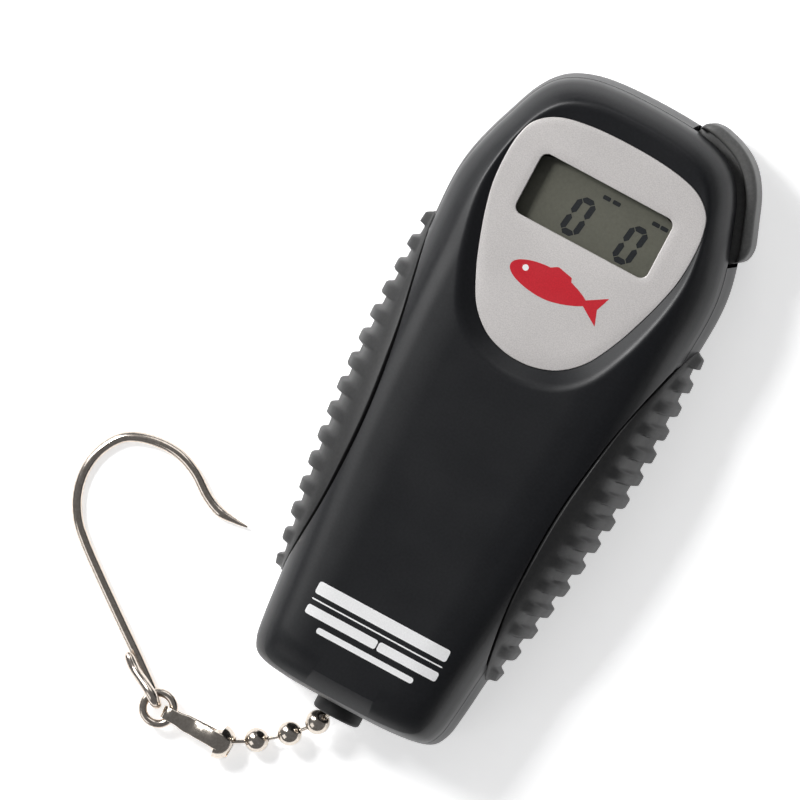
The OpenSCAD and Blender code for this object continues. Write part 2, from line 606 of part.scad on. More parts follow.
// ---- leads ----
module battery_wires() for (s = [-1, 1]) color(s < 0 ? [0.7, 0.1, 0.1] : [0.1, 0.1, 0.1]) wire([
    [s * 9.6, bay_y0 + bay_l + bay_wall + 0.8, bay_top - 1.4], [s * 9.6, bay_y0 + bay_l + bay_wall + 1.2, bay_top + 0.4],
    [s * 10.4, bay_y0 + bay_l + bay_wall + 1, board_top - board_t - 0.9], [s * 12, board_y1 - 3, board_top - board_t - 0.5]
], 0.45, [1, 0, 0]);
module gauge_wires() for (k = [0 : 3]) color([0.6, 0.6, 0.6]) wire([
    [-7.5 + 5 * k, (sensor_y0 + sensor_y1) / 2 + 3, sensor_z0 + sensor_t + 0.6],
    [-6 + 4 * k, sensor_y1 - 2, sensor_z0 + sensor_t + 3.4],
    [-4.5 + 3 * k, -4, bay_top + 2.2],
    [-3.6 + 2.4 * k, board_y0 - 4, board_top + 1.6], [-3.6 + 2.4 * k, board_y0 + 0.2, board_top + 0.5]
], 0.4, [1, 0, 0]);

rear_shell();
front_shell();
left_grip();
right_grip();
case_screws();
face_plate();
display_lens();
lcd_panel();
lcd_frame();
zebra_strips();
circuit_board();
board_parts();
board_screws();
tact_switch();
switch_plunger();
power_button();
battery(-1);  // battery_1
battery(1);  // battery_2
spring_contacts();
plate_contacts();
battery_door();
load_cell();
strain_gauges();
sensor_screws();
hanger();
hanger_nut();
chain_boot();
battery_wires();
gauge_wires();
bell();
strap();
ring();
hook();
for (i = [0 : 4]) bead(i);
for (i = [1 : 4]) pin(i);
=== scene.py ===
"""Looks of a digital fish scale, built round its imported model.

Lengths are millimetres in the model's own frame, and become metres when a mesh is made. +Z leaves the
display face, +Y points to the display end, +X to the right of somebody who reads the display.
"""

import json
import math

import bpy
import numpy as np
from mathutils import Matrix, Vector


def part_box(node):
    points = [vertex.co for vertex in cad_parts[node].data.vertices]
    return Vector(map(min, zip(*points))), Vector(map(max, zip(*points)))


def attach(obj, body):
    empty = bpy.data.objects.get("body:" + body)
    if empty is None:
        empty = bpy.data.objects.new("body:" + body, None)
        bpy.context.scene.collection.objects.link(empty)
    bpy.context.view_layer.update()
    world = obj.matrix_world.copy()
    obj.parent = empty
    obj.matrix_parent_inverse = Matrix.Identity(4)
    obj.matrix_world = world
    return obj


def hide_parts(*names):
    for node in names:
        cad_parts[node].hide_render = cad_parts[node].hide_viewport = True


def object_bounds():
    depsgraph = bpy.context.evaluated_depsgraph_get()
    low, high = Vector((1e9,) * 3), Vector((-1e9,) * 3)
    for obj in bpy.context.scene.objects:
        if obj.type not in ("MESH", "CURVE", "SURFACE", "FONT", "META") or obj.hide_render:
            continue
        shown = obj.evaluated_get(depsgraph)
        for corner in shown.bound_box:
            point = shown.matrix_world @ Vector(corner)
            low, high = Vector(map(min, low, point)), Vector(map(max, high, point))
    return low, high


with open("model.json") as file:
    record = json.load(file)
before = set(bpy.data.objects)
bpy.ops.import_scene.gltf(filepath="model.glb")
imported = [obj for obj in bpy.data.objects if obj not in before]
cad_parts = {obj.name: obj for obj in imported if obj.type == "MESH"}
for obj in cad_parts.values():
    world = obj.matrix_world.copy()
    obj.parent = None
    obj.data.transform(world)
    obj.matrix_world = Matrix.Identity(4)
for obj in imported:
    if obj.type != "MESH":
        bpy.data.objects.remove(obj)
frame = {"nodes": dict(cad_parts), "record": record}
cad_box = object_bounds()
nodes = frame["nodes"]
MM = 0.001


def low_high(node):
    """A node's lowest and highest corners, in millimetres."""
    low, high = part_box(node)
    return np.array(low) / MM, np.array(high) / MM


# ---- sizes of the case ----
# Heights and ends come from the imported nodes, and the rest repeats the part's own sizes.
HALF_W = 28.7
HALF_L = low_high("rear_shell")[1][1]
PART_Z = low_high("front_shell")[0][2]  # height of the parting line
CASE_T = low_high("front_shell")[1][2]
WALL = 2.0
TOP_K, LOW_K = 0.75, 0.35  # share of an inset that the display end and the chain end take
PLATE_FROM_END, WINDOW_FROM_END = 32, 24
PLATE_CENTRE = np.array([0.0, HALF_L - PLATE_FROM_END])
PLATE_W, PLATE_L = 40.8, 46.3
PLATE_TOP = low_high("face_plate")[1][2]
POCKET_Z = low_high("face_plate")[0][2]
LENS_TOP = low_high("display_lens")[1][2]
LCD_TOP = low_high("lcd_panel")[1][2]
WINDOW_CENTRE = np.array([0.0, HALF_L - WINDOW_FROM_END])
WINDOW_W, WINDOW_H, WINDOW_R = 28.4, 12.7, 1.6
DISH_SIDE, DISH_TOP, DISH_LOW = 4.2, 10.0, 3.2  # reach of the slope beside, above and below the plate
GRIP_Y0, GRIP_Y1 = -47.8, 26.8
GRIP_REACH, GRIP_PROUD, GRIP_SEAT = 5.4, 1.8, 0.9
RIBS, RIB_H, RIB_L = 15, 1.3, 2.6

# Right half of the case's outline, display end first, in shares of its half-width and half-length.
CASE_HALF = np.array([
    [0, 1], [0.32, 0.994], [0.53, 0.974], [0.68, 0.935], [0.785, 0.872],
    [0.864, 0.785], [0.937, 0.692], [0.986, 0.6], [1, 0.508], [0.985, 0.369],
    [0.966, 0.154], [0.935, -0.077], [0.886, -0.308], [0.823, -0.538],
    [0.771, -0.738], [0.742, -0.862], [0.71, -0.94], [0.63, -0.981],
    [0.4, -0.997], [0, -1],
])
# Right half of the plate's outline, display end first, in shares of its half-width and whole length.
PLATE_HALF = np.array([
    [0, 0.5], [0.4, 0.492], [0.72, 0.462], [0.91, 0.4], [0.98, 0.32],
    [1, 0.22], [0.985, 0.1], [0.93, -0.01], [0.85, -0.124], [0.74, -0.25],
    [0.59, -0.373], [0.4, -0.452], [0.2, -0.489], [0, -0.5],
])


# ---- curves and tables ----
def bend(a, b, c, d, t):
    """Catmull-Rom: the cubic from b to c whose slope at each is half the way between its two neighbours."""
    return 0.5 * (2 * b + (c - a) * t + (2 * a - 5 * b + 4 * c - d) * t**2 + (3 * b - a - 3 * c + d) * t**3)


def round_loop(points, steps):
    """A closed outline rounded through its points, with that many steps between two of them."""
    a, b, c, d = (np.roll(points, k, 0)[:, None] for k in (1, 0, -1, -2))
    t = (np.arange(steps) / steps)[None, :, None]
    return bend(a, b, c, d, t).reshape(-1, points.shape[1])


def round_path(points, steps):
    """An open path rounded through its points, with that many steps between two of them."""
    q = np.vstack([points[:1], points, points[-1:]])
    a, b, c, d = q[:-3, None], q[1:-2, None], q[2:-1, None], q[3:, None]
    t = (np.arange(steps) / steps)[None, :, None]
    return np.vstack([bend(a, b, c, d, t).reshape(-1, points.shape[1]), points[-1:]])


def whole(half):
    """A closed outline from its right half: down the right side, then up the left."""
    return np.vstack([half, half[-2:0:-1] * (-1, 1)])


def even(loop, count):
    """That many points at equal steps along a closed outline."""
    closed = np.vstack([loop, loop[:1]])
    way = np.r_[0, np.cumsum(np.linalg.norm(np.diff(closed, axis=0), axis=1))]
    at = np.arange(count) * way[-1] / count
    return np.stack([np.interp(at, way, closed[:, k]) for k in range(closed.shape[1])], -1)


def table(xs, ys):
    """A monotone cubic through a table: each slope is the weighted harmonic mean of the slopes beside it."""
    xs, ys = np.array(xs, float), np.array(ys, float)
    h = np.diff(xs)
    d = np.diff(ys) / h
    m = np.r_[d[0], np.zeros(len(xs) - 2), d[-1]]
    same = d[:-1] * d[1:] > 0
    w1, w2 = 2 * h[1:] + h[:-1], h[1:] + 2 * h[:-1]
    safe = np.where(same, d[:-1], 1), np.where(same, d[1:], 1)
    m[1:-1] = np.where(same, (w1 + w2) / (w1 / safe[0] + w2 / safe[1]), 0)

    def value(x):
        x = np.clip(x, xs[0], xs[-1])
        k = np.clip(np.searchsorted(xs, x, side="right") - 1, 0, len(xs) - 2)
        t = (x - xs[k]) / h[k]
        return (
            ys[k] * (1 + 2 * t) * (1 - t) ** 2 + h[k] * m[k] * t * (1 - t) ** 2
            + ys[k + 1] * t**2 * (3 - 2 * t) + h[k] * m[k + 1] * t**2 * (t - 1)
        )

    return value


def ease(x):
    """0 below 0, 1 above 1, and a smooth rise between them."""
    x = np.clip(x, 0, 1)
    return x * x * (3 - 2 * x)


def outline_at(outline, centre, angles):
    """The points of an outline that lie at those angles about a centre inside it."""
    rel = outline - centre
    a = np.arctan2(rel[:, 1], rel[:, 0])
    order = np.argsort(a)
    a, r = a[order], np.hypot(rel[:, 0], rel[:, 1])[order]
    a = np.r_[a[-1] - 2 * np.pi, a, a[0] + 2 * np.pi]
    r = np.r_[r[-1], r, r[0]]
    way = np.interp((angles + np.pi) % (2 * np.pi) - np.pi, a, r)
    return centre + way[:, None] * np.stack([np.cos(angles), np.sin(angles)], -1)


# ---- the case's own curves ----
FINE = 24  # steps between two of an outline's own points
COLUMNS = 480
CASE_FINE = round_loop(whole(CASE_HALF), FINE)
SHARE = even(CASE_FINE * (HALF_W, HALF_L), COLUMNS) / (HALF_W, HALF_L)
side = CASE_FINE[: FINE * (len(CASE_HALF) - 1) + 1]
SIDE_Y, SIDE_X = side[::-1, 1], np.abs(side[::-1, 0])
PLATE_FINE = round_loop(whole(PLATE_HALF), FINE)
plate_side = PLATE_FINE[: FINE * (len(PLATE_HALF) - 1) + 1]
PLATE_SIDE_Y, PLATE_SIDE_X = plate_side[::-1, 1], np.abs(plate_side[::-1, 0])

# Tables of the section: height of the front at an inset, inset of the whole side at a height, height of the
# shoulder at an inset, and inset of the rear shell at a height.
RIM_IN = 0.85
FACE_Z = table([RIM_IN, 1.3, 2.4, 4.2, 6.4, 9.5, 16, 28], [PART_Z, 19.3, 21.8, 24.1, 25.7, 26.5, 27, 27])
SKIN_IN = table(
    [0, 0.8, 2.4, 5, 9, 13, 19.5, 21.8, 24.1, 25.7, 26.5, 27],
    [3.2, 1.7, 0.7, 0.15, 0, 0.25, 1.6, 2.5, 4.2, 6.4, 9.5, 16],
)
SHOULDER_Z = table([0, 0.25, 1.6, 2.5, 4.2, 6.4], [9, 13, 19.5, 21.8, 24.1, 25.7])
REAR_IN = table([0, 0.8, 2.4, 5, 9, PART_Z], [3.2, 1.7, 0.7, 0.15, 0, 0.8])
MOST_INSET = 28.0
HALVINGS = 32
UPRIGHT_Z, LEAN_MOST = 12, 60  # the side stands upright up to this height, and leans this much at the crown


def half_at(y):
    """Half of the case's width at a place along it, and never quite nothing at its ends."""
    return HALF_W * np.maximum(np.interp(y / HALF_L, SIDE_Y, SIDE_X), 0.01)


def slope_at(z):
    """Angle of the side's normal from straight up: 90 degrees on the upright part, then falling evenly."""
    return np.radians(90 - LEAN_MOST * np.clip(z - UPRIGHT_Z, 0, None) / (CASE_T - UPRIGHT_Z))


def case_ring(inset, extra=0.0):
    """The case's outline drawn in: x by the inset, y by each end's share of it, and both by the extra."""
    k = np.where(SHARE[:, 1] > 0, TOP_K, LOW_K)
    return SHARE * np.stack(np.broadcast_arrays(HALF_W - inset - extra, HALF_L - k * inset - extra), -1)


def inset_at(x, y):
    """How far the outline has to be drawn in to pass through a point, found by halving."""
    low, high = np.zeros_like(x), np.full_like(x, MOST_INSET)
    k = np.where(y > 0, TOP_K, LOW_K)
    for _ in range(HALVINGS):
        mid = (low + high) / 2
        outside = np.abs(x) / (HALF_W - mid) > np.interp(y / (HALF_L - k * mid), SIDE_Y, SIDE_X, -1, -1)
        low, high = np.where(outside, low, mid), np.where(outside, mid, high)
    return (low + high) / 2


def dish_z(x, y):
    """Height of the slope round the plate: it rises from the plate to the crown's height while the plate's
    outline grows by the slope's reach, and the place on it is found by halving."""
    low, high = np.full_like(x, -1.0), np.full_like(x, 30.0)
    v = y - PLATE_CENTRE[1]
    rise = np.where(v > 0, DISH_TOP, DISH_LOW)
    for _ in range(HALVINGS):
        mid = (low + high) / 2
        share = v / (PLATE_L + 2 * rise * mid)
        width = np.interp(share, PLATE_SIDE_Y, PLATE_SIDE_X, -1, -1)
        outside = np.abs(x) / (PLATE_W / 2 + DISH_SIDE * mid) > width
        low, high = np.where(outside, mid, low), np.where(outside, high, mid)
    return PLATE_TOP + (CASE_T - PLATE_TOP) * (low + high) / 2


def face_z(x, y):
    """Height of the front: the lower of the crown and the dish's slope, with their crease rounded."""
    crown, dish = FACE_Z(inset_at(x, y)), dish_z(x, y)
    soft = 0.6  # difference in height within which the two run into each other
    return np.minimum(crown, dish) - soft / 4 * np.clip(1 - np.abs(crown - dish) / soft, 0, 1) ** 2


# ---- meshes ----
def quads(rows, cols, ring_rows, ring_cols):
    """Four-sided faces between neighbouring rows and columns of a grid counted row by row."""
    r = np.arange(rows if ring_rows else rows - 1)[:, None]
    c = np.arange(cols if ring_cols else cols - 1)[None, :]
    r2, c2 = (r + 1) % rows, (c + 1) % cols
    return np.stack([r * cols + c, r * cols + c2, r2 * cols + c2, r2 * cols + c], -1).reshape(-1, 4)


def outward(points, faces):
    """The same skin with its faces turned outwards: the signed volume under it has to be positive."""
    tri = np.array([[f[0], f[k], f[k + 1]] for f in faces for k in range(1, len(f) - 1)])
    a, b, c = points[tri[:, 0]], points[tri[:, 1]], points[tri[:, 2]]
    if np.einsum("ij,ij->", a, np.cross(b, c)) < 0:
        faces = [f[::-1] for f in faces]
    return points, faces


def skin(grid, ring_rows=False):
    """A closed skin over rows of points that are closed loops; open ends close on a pole at their middle."""
    rows, cols = grid.shape[:2]
    points = grid.reshape(-1, 3)
    faces = quads(rows, cols, ring_rows, True).tolist()
    if not ring_rows:
        k = np.arange(cols)
        k2 = (k + 1) % cols
        n = rows * cols
        points = np.vstack([points, grid[0].mean(0), grid[-1].mean(0)])
        faces += np.stack([k2, k, np.full(cols, n)], -1).tolist()
        faces += np.stack([n - cols + k, n - cols + k2, np.full(cols, n + 1)], -1).tolist()
    return outward(points, faces)


def as_mesh(name, skins):
    """One mesh from one or more closed skins."""
    points, faces, start = [], [], 0
    for p, f in skins:
        points.append(p)
        faces += [[i + start for i in face] for face in f]
        start += len(p)
    mesh = bpy.data.meshes.new(name)
    mesh.from_pydata((np.vstack(points) * MM).tolist(), [], faces)
    mesh.update()
    return mesh


def placed(name, mesh, body, paint, stands_for=(), sharp=38):
    """Puts a mesh into the scene as a piece, on its body and in its finish; sharp is the angle in degrees
    above which an edge isn't smoothed."""
    mesh.polygons.foreach_set("use_smooth", np.ones(len(mesh.polygons), bool))
    mesh.set_sharp_from_angle(angle=math.radians(sharp))
    mesh.materials.clear()
    mesh.materials.append(paint)
    piece = bpy.data.objects.new(name, mesh)
    bpy.context.scene.collection.objects.link(piece)
    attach(piece, body)
    if stands_for:
        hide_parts(*stands_for)
    return piece


def level(points2, z):
    """Points of an outline at one height, or at a height each."""
    return np.column_stack([points2, np.broadcast_to(z, len(points2))])


def frame_along(axis):
    """Two directions square to an axis and to each other."""
    axis = np.array(axis, float) / np.linalg.norm(axis)
    aside = np.cross(axis, (0, 0, 1) if abs(axis[2]) < 0.9 else (1, 0, 0))
    aside /= np.linalg.norm(aside)
    return axis, aside, np.cross(axis, aside)


def lathe(profile, origin, axis, around=64, ring=False):
    """A profile of [place along the axis, radius] turned once round the axis."""
    axis, p, q = frame_along(axis)
    a = np.linspace(0, 2 * np.pi, around, endpoint=False)
    turn = np.cos(a)[:, None] * p + np.sin(a)[:, None] * q
    profile = np.array(profile, float)
    grid = np.array(origin) + profile[:, None, :1] * axis + profile[:, None, 1:] * turn
    return skin(grid, ring_rows=ring)


def arc(centre, radius, start, end, steps):
    """Points of an arc, with its angles in degrees."""
    a = np.radians(np.linspace(start, end, steps))
    return np.column_stack([centre[0] + radius * np.cos(a), centre[1] + radius * np.sin(a)])


def swept(path, section, lead, scale=None):
    """A closed section carried along a path; lead is its first direction, kept square to the path."""
    t = np.gradient(path, axis=0)
    t /= np.linalg.norm(t, axis=1)[:, None]
    n = np.empty_like(t)
    aim = np.array(lead, float)
    for i in range(len(t)):  # each step carries the last direction on
        aim = aim - (aim @ t[i]) * t[i]
        aim /= np.linalg.norm(aim)
        n[i] = aim
    b = np.cross(t, n)
    scale = np.ones(len(path)) if scale is None else scale
    sec = np.asarray(section)
    if sec.ndim == 2:
        sec = np.broadcast_to(sec, (len(path), *sec.shape))
    return path[:, None] + scale[:, None, None] * (sec[:, :, :1] * n[:, None] + sec[:, :, 1:] * b[:, None])


def circle(count):
    """A round section of radius 1."""
    a = np.linspace(0, 2 * np.pi, count, endpoint=False)
    return np.column_stack([np.cos(a), np.sin(a)])


def rounded_box(w, h, r, corner=5):
    """A rectangle of half-width w and half-height h whose corners are arcs of radius r."""
    quarters = (1, 1, 0), (-1, 1, 90), (-1, -1, 180), (1, -1, 270)
    return np.vstack([arc((sx * (w - r), sy * (h - r)), r, a, a + 90, corner) for sx, sy, a in quarters])


def block(low, high):
    """A plain box, as a cutter or as walls inside the case."""
    x0, y0, z0 = low
    x1, y1, z1 = high
    loop = np.array([[x0, y0], [x1, y0], [x1, y1], [x0, y1]])
    points = np.vstack([level(loop, z0), level(loop, z1)])
    faces = [[3, 2, 1, 0], [4, 5, 6, 7]] + [[k, (k + 1) % 4, (k + 1) % 4 + 4, k + 4] for k in range(4)]
    return outward(points, faces)


def post(x, y, z0, z1, r, around=40):
    """A round post or bore along Z."""
    return lathe([[0, r], [z1 - z0, r]], (x, y, z0), (0, 0, 1), around)


def carved(base, steps):
    """A mesh after a list of exact boolean steps, each of an operation and the skins of its other solid."""
    obj = bpy.data.objects.new("carving", base)
    bpy.context.scene.collection.objects.link(obj)
    helpers = []
    for operation, skins in steps:
        other = bpy.data.objects.new("carver", as_mesh("carver", skins))
        bpy.context.scene.collection.objects.link(other)
        other.hide_render = True
        helpers.append(other)
        mod = obj.modifiers.new("carve", "BOOLEAN")
        mod.operation, mod.solver, mod.object = operation, "EXACT", other
    bpy.context.view_layer.update()
    graph = bpy.context.evaluated_depsgraph_get()
    result = bpy.data.meshes.new_from_object(obj.evaluated_get(graph))
    for gone in [obj, *helpers]:
        mesh = gone.data
        bpy.data.objects.remove(gone)
        bpy.data.meshes.remove(mesh)
    return result


# ---- finishes ----
def tone(red, green, blue):
    """A display colour of 0 to 255 as the linear colour that a shader takes."""
    c = np.array((red, green, blue)) / 255
    return (*np.where(c <= 0.04045, c / 12.92, ((c + 0.055) / 1.055) ** 2.4).tolist(), 1.0)


NOISE_LOW, NOISE_HIGH = 0.3, 0.7  # a noise's values lie mostly between these


def finish(
    name, dark, light, grain, rough, spread=0.08,
    relief=0.0, relief_grain=0.35, patch=14.0, stretch=(1, 1, 1), **sockets,
):
    """A finish whose colour goes between two tones with a fine grain, whose gloss drifts in broad patches,
    and whose surface has a small relief; grain, relief_grain and patch are the sizes of those patterns in
    millimetres."""
    paint = bpy.data.materials.new(name)
    paint.use_nodes = True
    tree = paint.node_tree
    shader = tree.nodes["Principled BSDF"]
    for socket, value in sockets.items():
        shader.inputs[socket.replace("_", " ")].default_value = value
    place = tree.nodes.new("ShaderNodeTexCoord").outputs["Object"]
    mapping = tree.nodes.new("ShaderNodeMapping")
    mapping.inputs["Scale"].default_value = stretch
    tree.links.new(place, mapping.inputs["Vector"])

    def noise(size, detail):
        node = tree.nodes.new("ShaderNodeTexNoise")
        node.inputs["Scale"].default_value = 1 / (size * MM)
        node.inputs["Detail"].default_value = detail
        tree.links.new(mapping.outputs["Vector"], node.inputs["Vector"])
        return node.outputs[0]

    def spread_over(value, low, high):
        node = tree.nodes.new("ShaderNodeMapRange")
        ends = {"From Min": NOISE_LOW, "From Max": NOISE_HIGH, "To Min": low, "To Max": high}
        for socket, number in ends.items():
            node.inputs[socket].default_value = number
        tree.links.new(value, node.inputs["Value"])
        return node.outputs["Result"]

    mix = tree.nodes.new("ShaderNodeMix")
    mix.data_type = "RGBA"
    share, colour_a, colour_b, mixed = mix.inputs[0], mix.inputs[6], mix.inputs[7], mix.outputs[2]
    colour_a.default_value, colour_b.default_value = tone(*dark), tone(*light)
    tree.links.new(spread_over(noise(grain, 3.0), 0, 1), share)
    tree.links.new(mixed, shader.inputs["Base Color"])
    tree.links.new(spread_over(noise(patch, 4.0), rough - spread, rough + spread), shader.inputs["Roughness"])
    if relief:
        bump = tree.nodes.new("ShaderNodeBump")
        bump.inputs["Strength"].default_value = 1.0
        bump.inputs["Distance"].default_value = relief * MM
        tree.links.new(noise(relief_grain, 2.0), bump.inputs["Height"])
        tree.links.new(bump.outputs["Normal"], shader.inputs["Normal"])
    return paint


PAINTS = {
    "case_plastic": finish(
        "case_plastic", (17, 18, 21), (24, 25, 28), 0.5, 0.4, 0.04,
        relief=0.005, relief_grain=0.25, Specular_IOR_Level=0.38,
    ),
    "grip_rubber": finish(
        "grip_rubber", (26, 26, 27), (36, 36, 36), 0.6, 0.5, relief=0.012, relief_grain=0.4,
    ),
    "button_rubber": finish("button_rubber", (84, 84, 83), (96, 96, 95), 0.5, 0.52, relief=0.008),
    "boot_rubber": finish("boot_rubber", (22, 22, 23), (30, 30, 31), 0.5, 0.55, relief=0.01),
    "plate_metal": finish(
        "plate_metal", (200, 196, 194), (222, 218, 216), 0.22, 0.42, 0.05,
        relief=0.003, relief_grain=0.2, Metallic=0.25,
    ),
    "screw_steel": finish("screw_steel", (150, 150, 152), (175, 175, 178), 0.3, 0.3, Metallic=1.0),
    "clear_lens": finish("clear_lens", (16, 18, 18), (24, 26, 26), 2.0, 0.06, 0.02, Alpha=0.1),
    "lcd_glass": finish("lcd_glass", (108, 108, 96), (116, 116, 103), 0.6, 0.45, 0.05),
    "white_plastic": finish("white_plastic", (215, 215, 210), (228, 228, 224), 0.5, 0.45, relief=0.005),
    "zebra_rubber": finish("zebra_rubber", (205, 150, 160), (222, 170, 178), 0.3, 0.6, stretch=(3, 1, 1)),
    "board_green": finish("board_green", (18, 84, 44), (28, 104, 56), 0.7, 0.4, relief=0.004),
    "part_black": finish("part_black", (20, 20, 21), (32, 32, 33), 0.4, 0.45, relief=0.005),
    "plunger_red": finish("plunger_red", (176, 44, 34), (196, 56, 44), 0.4, 0.4),
    "cell_wrap": finish("cell_wrap", (20, 52, 104), (30, 66, 124), 1.2, 0.3),
    "spring_steel": finish("spring_steel", (180, 180, 182), (205, 205, 206), 0.3, 0.25, Metallic=1.0),
    "cell_metal": finish(
        "cell_metal", (190, 191, 194), (212, 213, 215), 0.35, 0.35, stretch=(1, 6, 1), Metallic=1.0,
    ),
    "gauge_foil": finish("gauge_foil", (190, 128, 44), (216, 154, 64), 0.25, 0.35, stretch=(1, 5, 1)),
    "nut_brass": finish("nut_brass", (176, 148, 84), (204, 176, 108), 0.3, 0.3, Metallic=1.0),
    "wire_jacket": finish("wire_jacket", (124, 34, 30), (150, 44, 38), 0.4, 0.45),
    "chain_metal": finish(
        "chain_metal", (206, 196, 184), (226, 217, 206), 0.5, 0.14, 0.05, relief=0.002, Metallic=1.0,
    ),
    "hook_metal": finish(
        "hook_metal", (204, 192, 180), (224, 214, 204), 0.6, 0.18, 0.05, relief=0.002, Metallic=1.0,
    ),
}
RED_PRINT = finish("red_print", (190, 22, 38), (206, 30, 46), 0.3, 0.4)
WHITE_PRINT = finish("white_print", (240, 240, 240), (250, 250, 250), 0.3, 0.45)
SEGMENT = finish("segment_ink", (14, 18, 24), (22, 27, 33), 0.4, 0.5)

slot_of = {row["node"]: row["material_slot"] for row in frame["record"]["subparts"]}
for name, node in nodes.items():
    node.data.materials.clear()
    node.data.materials.append(PAINTS[slot_of.get(name, "part_black")])


# ---- front shell ----
def grip_reach(y):
    """How far a grip reaches in over the front at a place along the case: a half wave between its ends."""
    return GRIP_REACH * np.clip(np.sin(np.pi * np.clip((y - GRIP_Y0) / (GRIP_Y1 - GRIP_Y0), 0, 1)), 0, 1)


def grip_edge():
    """Inset of the grip's front edge on each column of the case's outline."""
    k = np.where(SHARE[:, 1] > 0, TOP_K, LOW_K)
    edge = np.zeros(len(SHARE))
    for _ in range(12):
        y = SHARE[:, 1] * (HALF_L - k * edge)
        edge = grip_reach(y) * HALF_W / half_at(y)
    return edge


def sunk(inset, depth):
    """A row of the front shell at an inset per column, lowered square to the surface by each one's depth."""
    ring = case_ring(inset)
    z = FACE_Z(inset)
    tilt = slope_at(z)
    x = ring[:, 0] - np.sign(ring[:, 0]) * np.sin(tilt) * depth
    return np.column_stack([x, ring[:, 1], z - np.cos(tilt) * depth])


SEAT_FROM, SEAT_RUN, SEAT_DEPTH = 0.8, 0.6, 0.95  # the bed under a grip: its inset, its run-in and its depth
# Steps up from the bed to the face, each as how far past the bed's edge it is and how deep.
SEAT_LIP = (0.14, SEAT_DEPTH), (0.17, 0.3), (0.24, 0.07)
LIP_END = 0.38
SHOULDER_IN = 4.2
CREASE_HALF = 0.9  # the finer rows lie this far to each side of the crease round the dish
FIT = 0.12  # gap round the plate and round its window


def front_shell():
    """Columns follow the outline. Rows go up the wall, over the shoulder and in along straight lines to the
    plate's pocket, then down through the window and back along the inside."""
    edge = grip_edge()
    under = ease((edge - SEAT_FROM) / SEAT_RUN)
    step = np.maximum(edge, 1.1)
    first = np.maximum(SHOULDER_IN, step + 0.9)
    rows = [sunk(RIM_IN + (step - RIM_IN) * f, SEAT_DEPTH * under) for f in np.linspace(0, 1, 8)]
    rows += [sunk(step + past, depth * under) for past, depth in SEAT_LIP]
    rows += [sunk(step + LIP_END + (first - step - LIP_END) * f, 0 * edge) for f in np.linspace(0, 1, 14)]
    start = case_ring(first)
    rel = start - PLATE_CENTRE
    angle = np.arctan2(rel[:, 1], rel[:, 0])
    rim = outline_at(PLATE_FINE * (PLATE_W / 2, PLATE_L) + PLATE_CENTRE, PLATE_CENTRE, angle)
    reach = np.linalg.norm(rim - PLATE_CENTRE, axis=1)[:, None]
    rim = PLATE_CENTRE + (rim - PLATE_CENTRE) * (1 + FIT / reach)
    low, high = np.zeros(len(SHARE)), np.ones(len(SHARE))
    for _ in range(24):
        mid = (low + high) / 2
        p = start + mid[:, None] * (rim - start)
        above = dish_z(p[:, 0], p[:, 1]) > FACE_Z(inset_at(p[:, 0], p[:, 1]))
        low, high = np.where(above, mid, low), np.where(above, high, mid)
    way = np.linalg.norm(rim - start, axis=1)
    near = np.clip(low - CREASE_HALF / way, 0.02, 1)
    far = np.clip(low + CREASE_HALF / way, 0.03, 0.97)
    steps = [near * f for f in np.linspace(0, 1, 22)[1:]]
    steps += [near + (far - near) * f for f in np.linspace(0, 1, 9)[1:]]
    steps += [far + (1 - far) * f for f in np.linspace(0, 1, 10)[1:]]
    for s in steps:
        p = start + s[:, None] * (rim - start)
        rows.append(level(p, face_z(p[:, 0], p[:, 1])))
    window = even(rounded_box(WINDOW_W / 2 + FIT, WINDOW_H / 2 + FIT, WINDOW_R, 24), 1200) + WINDOW_CENTRE
    hole = outline_at(window, WINDOW_CENTRE, angle)
    rows += [level(rim, POCKET_Z), level(hole, POCKET_Z), level(hole, LENS_TOP)]
    rows.append(level(case_ring(2.9, WALL + 0.2), LENS_TOP))  # the inside, flat under the face
    rows.append(level(case_ring(RIM_IN, WALL - 0.6), PART_Z))
    return [skin(np.array(rows), ring_rows=True)]


placed(
    "front_shell_skin", as_mesh("front_shell_skin", front_shell()),
    "case", PAINTS["case_plastic"], ("front_shell",),
)


# ---- grips ----
RIB_FROM_END = 2
GRIP_LOW_END, GRIP_LOW_DROP = 8.6, 5.4  # height of the lower edge at the ends, and its drop by the middle
ACROSS = 7  # rough width of the strip, for the two runs measured across it
RIBS_START, SWELL_RUN = 1.9, 3.4
EDGE_SUNK, EDGE_PROUD = 0.4, 0.25


